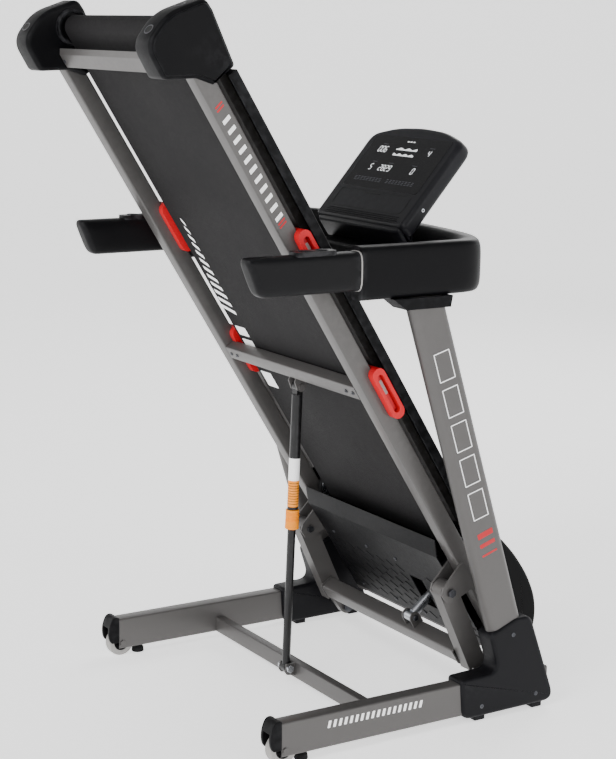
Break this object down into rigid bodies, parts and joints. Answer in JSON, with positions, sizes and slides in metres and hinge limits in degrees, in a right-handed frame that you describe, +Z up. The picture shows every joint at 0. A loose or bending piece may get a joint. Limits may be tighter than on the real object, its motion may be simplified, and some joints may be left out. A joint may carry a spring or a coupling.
{
  "type": "folding treadmill",
  "caption": "Motorised running deck folded up on a floor frame with leaning uprights, side handlebars, tilted console, locking strut, power incline and transport wheels.",
  "frame": {"origin": "on the floor, under the middle of the box round the whole treadmill in its stored position", "axes": "+X to the runner's right, +Y towards the console, +Z up"},
  "size_m": [0.864, 1.0518, 1.6408],
  "materials": {
    "frame_paint": "satin metallic grey paint",
    "black_plastic": "fine-textured black moulding",
    "screen": "gloss black window",
    "black_paint": "semi-gloss black paint",
    "soft_grip": "soft black foam skin",
    "rubber": "black rubber",
    "belt": "dark grey woven-backed belt",
    "board": "waxed fibreboard",
    "red_rubber": "red elastomer",
    "orange_plastic": "orange moulding",
    "grey_tread": "light grey tyre",
    "bright_steel": "zinc plated",
    "dark_steel": "blackened"
  },
  "bodies": {
    "base": {"base_rail_right": "frame_paint", "rail_end_cap_right": "black_plastic", "rear_foot_right": "rubber", "upright_right": "frame_paint", "base_cover_right": "black_plastic", "collar_right": "black_plastic", "grip_right": "soft_grip", "base_rail_left": "frame_paint", "rail_end_cap_left": "black_plastic", "rear_foot_left": "rubber", "upright_left": "frame_paint", "base_cover_left": "black_plastic", "collar_left": "black_plastic", "grip_left": "soft_grip", "rear_crossbar": "frame_paint", "front_crossbar": "frame_paint", "handle_frame": "black_plastic", "console_housing": "black_plastic", "console_display": "screen"},
    "fold_bolts": {"fold_pivot_bolt_right": "dark_steel", "fold_pivot_bolt_left": "dark_steel"},
    "lift_frame": {"lift_arm_right": "frame_paint", "lift_arm_left": "frame_paint", "lift_cross_tube": "frame_paint"},
    "deck": {"lift_pivot_bolt_right": "dark_steel", "lift_pivot_bolt_left": "dark_steel", "deck_tube_right": "frame_paint", "deck_tube_left": "frame_paint", "foot_rail_right": "black_plastic", "foot_rail_left": "black_plastic", "deck_end_cap_right": "black_plastic", "deck_end_cap_left": "black_plastic", "damper_right_front": "red_rubber", "damper_right_rear": "red_rubber", "damper_left_front": "red_rubber", "damper_left_rear": "red_rubber", "deck_mid_crossbar": "frame_paint", "deck_front_crossbar": "frame_paint", "deck_rear_plate": "frame_paint", "deck_board": "board", "running_belt": "belt", "drive_motor": "black_paint", "drive_belt": "rubber", "motor_pan": "black_plastic", "motor_hood": "black_plastic", "power_panel": "black_plastic"},
    "rear_roller": {"rear_roller": "bright_steel"},
    "front_roller": {"front_roller": "bright_steel"},
    "motor_pulley": {"motor_pulley": "bright_steel"},
    "power_rocker": {"power_rocker": "red_rubber"},
    "actuator_body": {"actuator_body": "dark_steel"},
    "actuator_rod": {"actuator_rod": "bright_steel"},
    "strut_pin": {"strut_pin": "bright_steel"},
    "strut_lower": {"strut_lower_tube": "black_paint"},
    "strut_upper": {"strut_upper_tube": "black_paint"},
    "release_sleeve": {"release_sleeve": "orange_plastic"},
    "wheel_right": {"transport_wheel_right": "grey_tread"},
    "wheel_left": {"transport_wheel_left": "grey_tread"},
    "speed_key": {"rocker_key_right": "black_plastic"},
    "incline_key": {"rocker_key_left": "black_plastic"}
  },
  "joints": [
    {"name": "fold", "type": "hinge", "parent": "base", "child": "fold_bolts", "pos_m": [0, 0.39267, 0.055], "axis": [1, 0, 0], "range_deg": [0, 60]},
    {"name": "incline", "type": "hinge", "parent": "fold_bolts", "child": "lift_frame", "pos_m": [0, 0.39267, 0.055], "axis": [-1, 0, 0], "range_deg": [0, 35]},
    {"name": "deck_pitch", "type": "hinge", "parent": "lift_frame", "child": "deck", "pos_m": [0, 0.25981, 0.2938], "axis": [1, 0, 0], "range_deg": [0, 41]},
    {"name": "motor_spin", "type": "hinge", "parent": "deck", "child": "motor_pulley", "pos_m": [0, 0.44414, 0.24358], "axis": [1, 0, 0], "continuous": true},
    {"name": "front_roller_spin", "type": "hinge", "parent": "deck", "child": "front_roller", "pos_m": [0, 0.32058, 0.40815], "axis": [1, 0, 0], "continuous": true},
    {"name": "rear_roller_spin", "type": "hinge", "parent": "deck", "child": "rear_roller", "pos_m": [0, -0.41358, 1.58845], "axis": [1, 0, 0], "continuous": true},
    {"name": "actuator_swing", "type": "hinge", "parent": "deck", "child": "actuator_body", "pos_m": [0, 0.45981, 0.28277], "axis": [-1, 0, 0], "range_deg": [0, 13.2]},
    {"name": "actuator_extend", "type": "slide", "parent": "actuator_body", "child": "actuator_rod", "axis": [0, -0.7659, -0.643], "range_m": [0, 0.0871]},
    {"name": "strut_follow", "type": "hinge", "parent": "base", "child": "strut_pin", "pos_m": [0, 0.01467, 0.048], "axis": [-1, 0, 0], "range_deg": [0, 9]},
    {"name": "strut_swing", "type": "hinge", "parent": "strut_pin", "child": "strut_lower", "pos_m": [0, 0.01467, 0.048], "axis": [1, 0, 0], "range_deg": [0, 85.1]},
    {"name": "strut_slide", "type": "slide", "parent": "strut_lower", "child": "strut_upper", "axis": [0, -0.0345, -0.9994], "range_m": [0, 0.2995]},
    {"name": "release", "type": "slide", "parent": "strut_upper", "child": "release_sleeve", "axis": [0, 0.0345, 0.9994], "range_m": [0, 0.012], "stiffness_N_per_m": 300, "springref_m": -0.01},
    {"name": "wheel_right_spin", "type": "hinge", "parent": "base", "child": "wheel_right", "pos_m": [0.405, -0.24233, 0.035], "axis": [1, 0, 0], "continuous": true},
    {"name": "wheel_left_spin", "type": "hinge", "parent": "base", "child": "wheel_left", "pos_m": [-0.405, -0.24233, 0.035], "axis": [1, 0, 0], "continuous": true},
    {"name": "speed_key_rock", "type": "hinge", "parent": "base", "child": "speed_key", "pos_m": [0.405, -0.17733, 1.1285], "axis": [1, 0, 0], "range_deg": [-4, 4], "stiffness_Nm_per_rad": 0.5},
    {"name": "incline_key_rock", "type": "hinge", "parent": "base", "child": "incline_key", "pos_m": [-0.405, -0.17733, 1.1285], "axis": [1, 0, 0], "range_deg": [-4, 4], "stiffness_Nm_per_rad": 0.5},
    {"name": "power_switch", "type": "hinge", "parent": "deck", "child": "power_rocker", "pos_m": [-0.178, 0.46435, 0.10129], "axis": [-1, 0, 0], "range_deg": [0, 12]}
  ],
  "couplings": [
    {"joint": "deck_pitch", "follows": "incline", "ratio": 1.17},
    {"joint": "front_roller_spin", "follows": "motor_spin", "ratio": 0.3889},
    {"joint": "rear_roller_spin", "follows": "motor_spin", "ratio": 0.3889},
    {"joint": "actuator_swing", "follows": "incline", "ratio": 0.3751},
    {"joint": "actuator_extend", "follows": "incline", "m_per_rad": 0.14092},
    {"joint": "strut_follow", "follows": "incline", "ratio": 0.25},
    {"joint": "strut_swing", "follows": "fold", "ratio": 1.4177},
    {"joint": "strut_slide", "follows": "fold", "m_per_rad": 0.28543}
  ]
}
